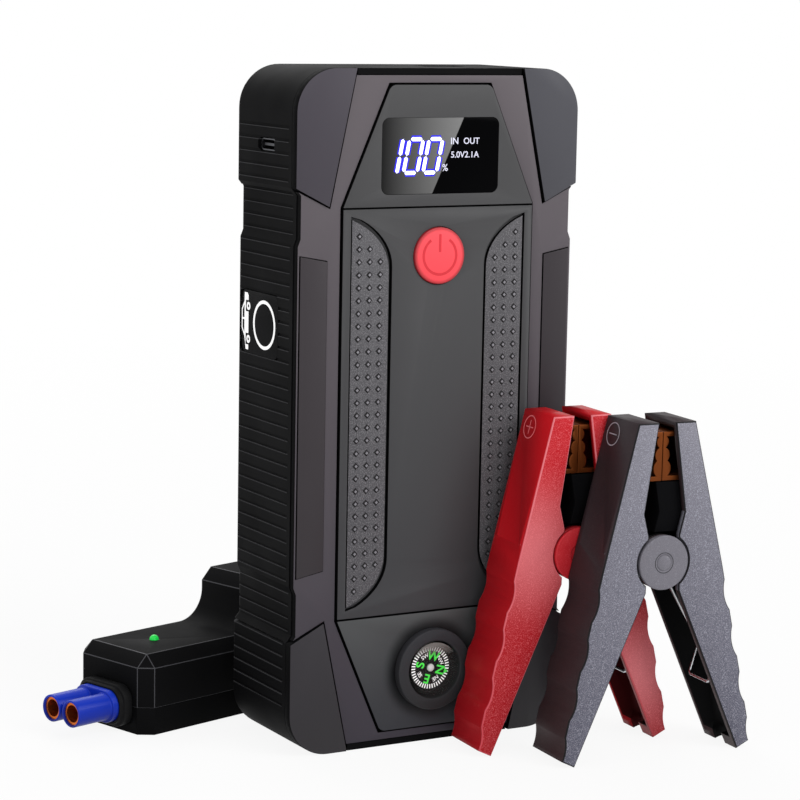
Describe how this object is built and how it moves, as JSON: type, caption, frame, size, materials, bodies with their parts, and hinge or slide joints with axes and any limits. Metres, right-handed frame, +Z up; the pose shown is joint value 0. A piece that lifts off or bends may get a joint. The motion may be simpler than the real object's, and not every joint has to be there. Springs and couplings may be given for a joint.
{
  "type": "jump starter",
  "caption": "Jump starter power pack standing on end, with display, compass, power button, sprung battery clamps and a connector module with a two-tube plug.",
  "frame": {"origin": "middle of the power pack's base, on the floor", "axes": "+Z up along the pack's height, -Y out of its front face, +X to its right seen from the front"},
  "size_m": [0.1758, 0.1328, 0.19],
  "materials": {
    "case_black": "fine grain, moulded",
    "frame_grey": "satin, warm dark grey",
    "guard_grey": "satin, dark grey",
    "inlay_grey": "satin, near black",
    "panel_grey": "satin, dark grey",
    "pad_rubber": "fine speckled rubber",
    "window_black": "polished black",
    "display_black": "matte",
    "button_red": "satin coral red",
    "switch_black": "matte",
    "screw_steel": "zinc plated",
    "compass_black": "soft matte rubber",
    "dial_black": "matte with printed marks",
    "pivot_brass": "polished",
    "capsule_clear": "clear",
    "board_green": "solder resist",
    "cell_grey": "foil pouch",
    "tray_black": "matte",
    "socket_black": "matte",
    "contact_copper": "copper plated",
    "cover_rubber": "matte rubber with printed marks",
    "port_steel": "nickel plated",
    "torch_clear": "clear",
    "reflector_chrome": "bright",
    "red_plastic": "satin red",
    "grey_plastic": "satin metallic grey",
    "jaw_copper": "copper plated",
    "block_black": "matte",
    "pin_steel": "drawn",
    "red_cap": "satin red",
    "black_cap": "satin dark grey",
    "spring_steel": "drawn wire",
    "module_black": "fine grain",
    "lamp_green": "clear green",
    "plug_blue": "satin blue",
    "collar_rubber": "matte rubber",
    "relay_black": "matte",
    "gland_rubber": "matte rubber"
  },
  "bodies": {
    "pack": {"front_shell": "case_black", "rear_shell": "case_black", "housing_screws": "screw_steel", "face_frame": "frame_grey", "corner_guard_top_left": "guard_grey", "corner_guard_top_right": "guard_grey", "corner_guard_bottom_left": "guard_grey", "corner_guard_bottom_right": "guard_grey", "side_inlay_left": "inlay_grey", "side_inlay_right": "inlay_grey", "display_panel": "panel_grey", "centre_panel": "panel_grey", "compass_panel": "panel_grey", "grip_pad_left": "pad_rubber", "grip_pad_right": "pad_rubber", "display_window": "window_black", "display_module": "display_black", "power_switch": "switch_black", "compass_housing": "compass_black", "compass_pivot": "pivot_brass", "compass_lens": "capsule_clear", "circuit_board": "board_green", "battery_cells": "cell_grey", "battery_frame": "tray_black", "jump_socket": "socket_black", "jump_socket_pins": "contact_copper", "port_board": "board_green", "usb_c_port": "port_steel", "usb_a_port": "port_steel", "torch_lens": "torch_clear", "torch_reflector": "reflector_chrome", "module_base": "module_black", "module_lid": "module_black", "module_lamp": "lamp_green", "module_plug": "plug_blue", "module_plug_contacts": "contact_copper", "module_collar": "collar_rubber", "module_board": "board_green", "module_relay": "relay_black", "module_cable_glands": "gland_rubber", "module_screws": "screw_steel", "red_left_arm": "red_plastic", "red_left_jaw": "jaw_copper", "red_pivot_pin": "pin_steel", "red_pivot_caps": "red_cap", "red_spring": "spring_steel", "black_left_arm": "grey_plastic", "black_left_jaw": "jaw_copper", "black_pivot_pin": "pin_steel", "black_pivot_caps": "black_cap", "black_spring": "spring_steel"},
    "button": {"power_button": "button_red"},
    "dial": {"compass_dial": "dial_black"},
    "cover": {"socket_cover": "cover_rubber"},
    "red_arm": {"red_right_arm": "red_plastic", "red_right_jaw": "jaw_copper", "red_jaw_block": "block_black"},
    "black_arm": {"black_right_arm": "grey_plastic", "black_right_jaw": "jaw_copper", "black_jaw_block": "block_black"}
  },
  "joints": [
    {"name": "button_press", "type": "slide", "parent": "pack", "child": "button", "axis": [0, 1, 0], "range_m": [0, 0.0008], "stiffness_N_per_m": 400, "springref_m": -0.002},
    {"name": "dial_spin", "type": "hinge", "parent": "pack", "child": "dial", "pos_m": [0, -0.0187, 0.0213], "axis": [0, 1, 0], "continuous": true},
    {"name": "cover_hinge", "type": "hinge", "parent": "pack", "child": "cover", "pos_m": [-0.0429, 0.0152, 0.1186], "axis": [0, 0, 1], "range_deg": [-90, 0]},
    {"name": "red_arm_hinge", "type": "hinge", "parent": "pack", "child": "red_arm", "pos_m": [0.0344, -0.0339, 0.0558], "axis": [0.0698, 0.9976, 0], "range_deg": [0, 30], "stiffness_Nm_per_rad": 0.4, "springref_deg": -45.84, "deforming": ["red_spring"]},
    {"name": "black_arm_hinge", "type": "hinge", "parent": "pack", "child": "black_arm", "pos_m": [0.0495, -0.05336, 0.0558], "axis": [0.0698, 0.9976, 0], "range_deg": [0, 30], "stiffness_Nm_per_rad": 0.4, "springref_deg": -45.84, "deforming": ["black_spring"]}
  ]
}
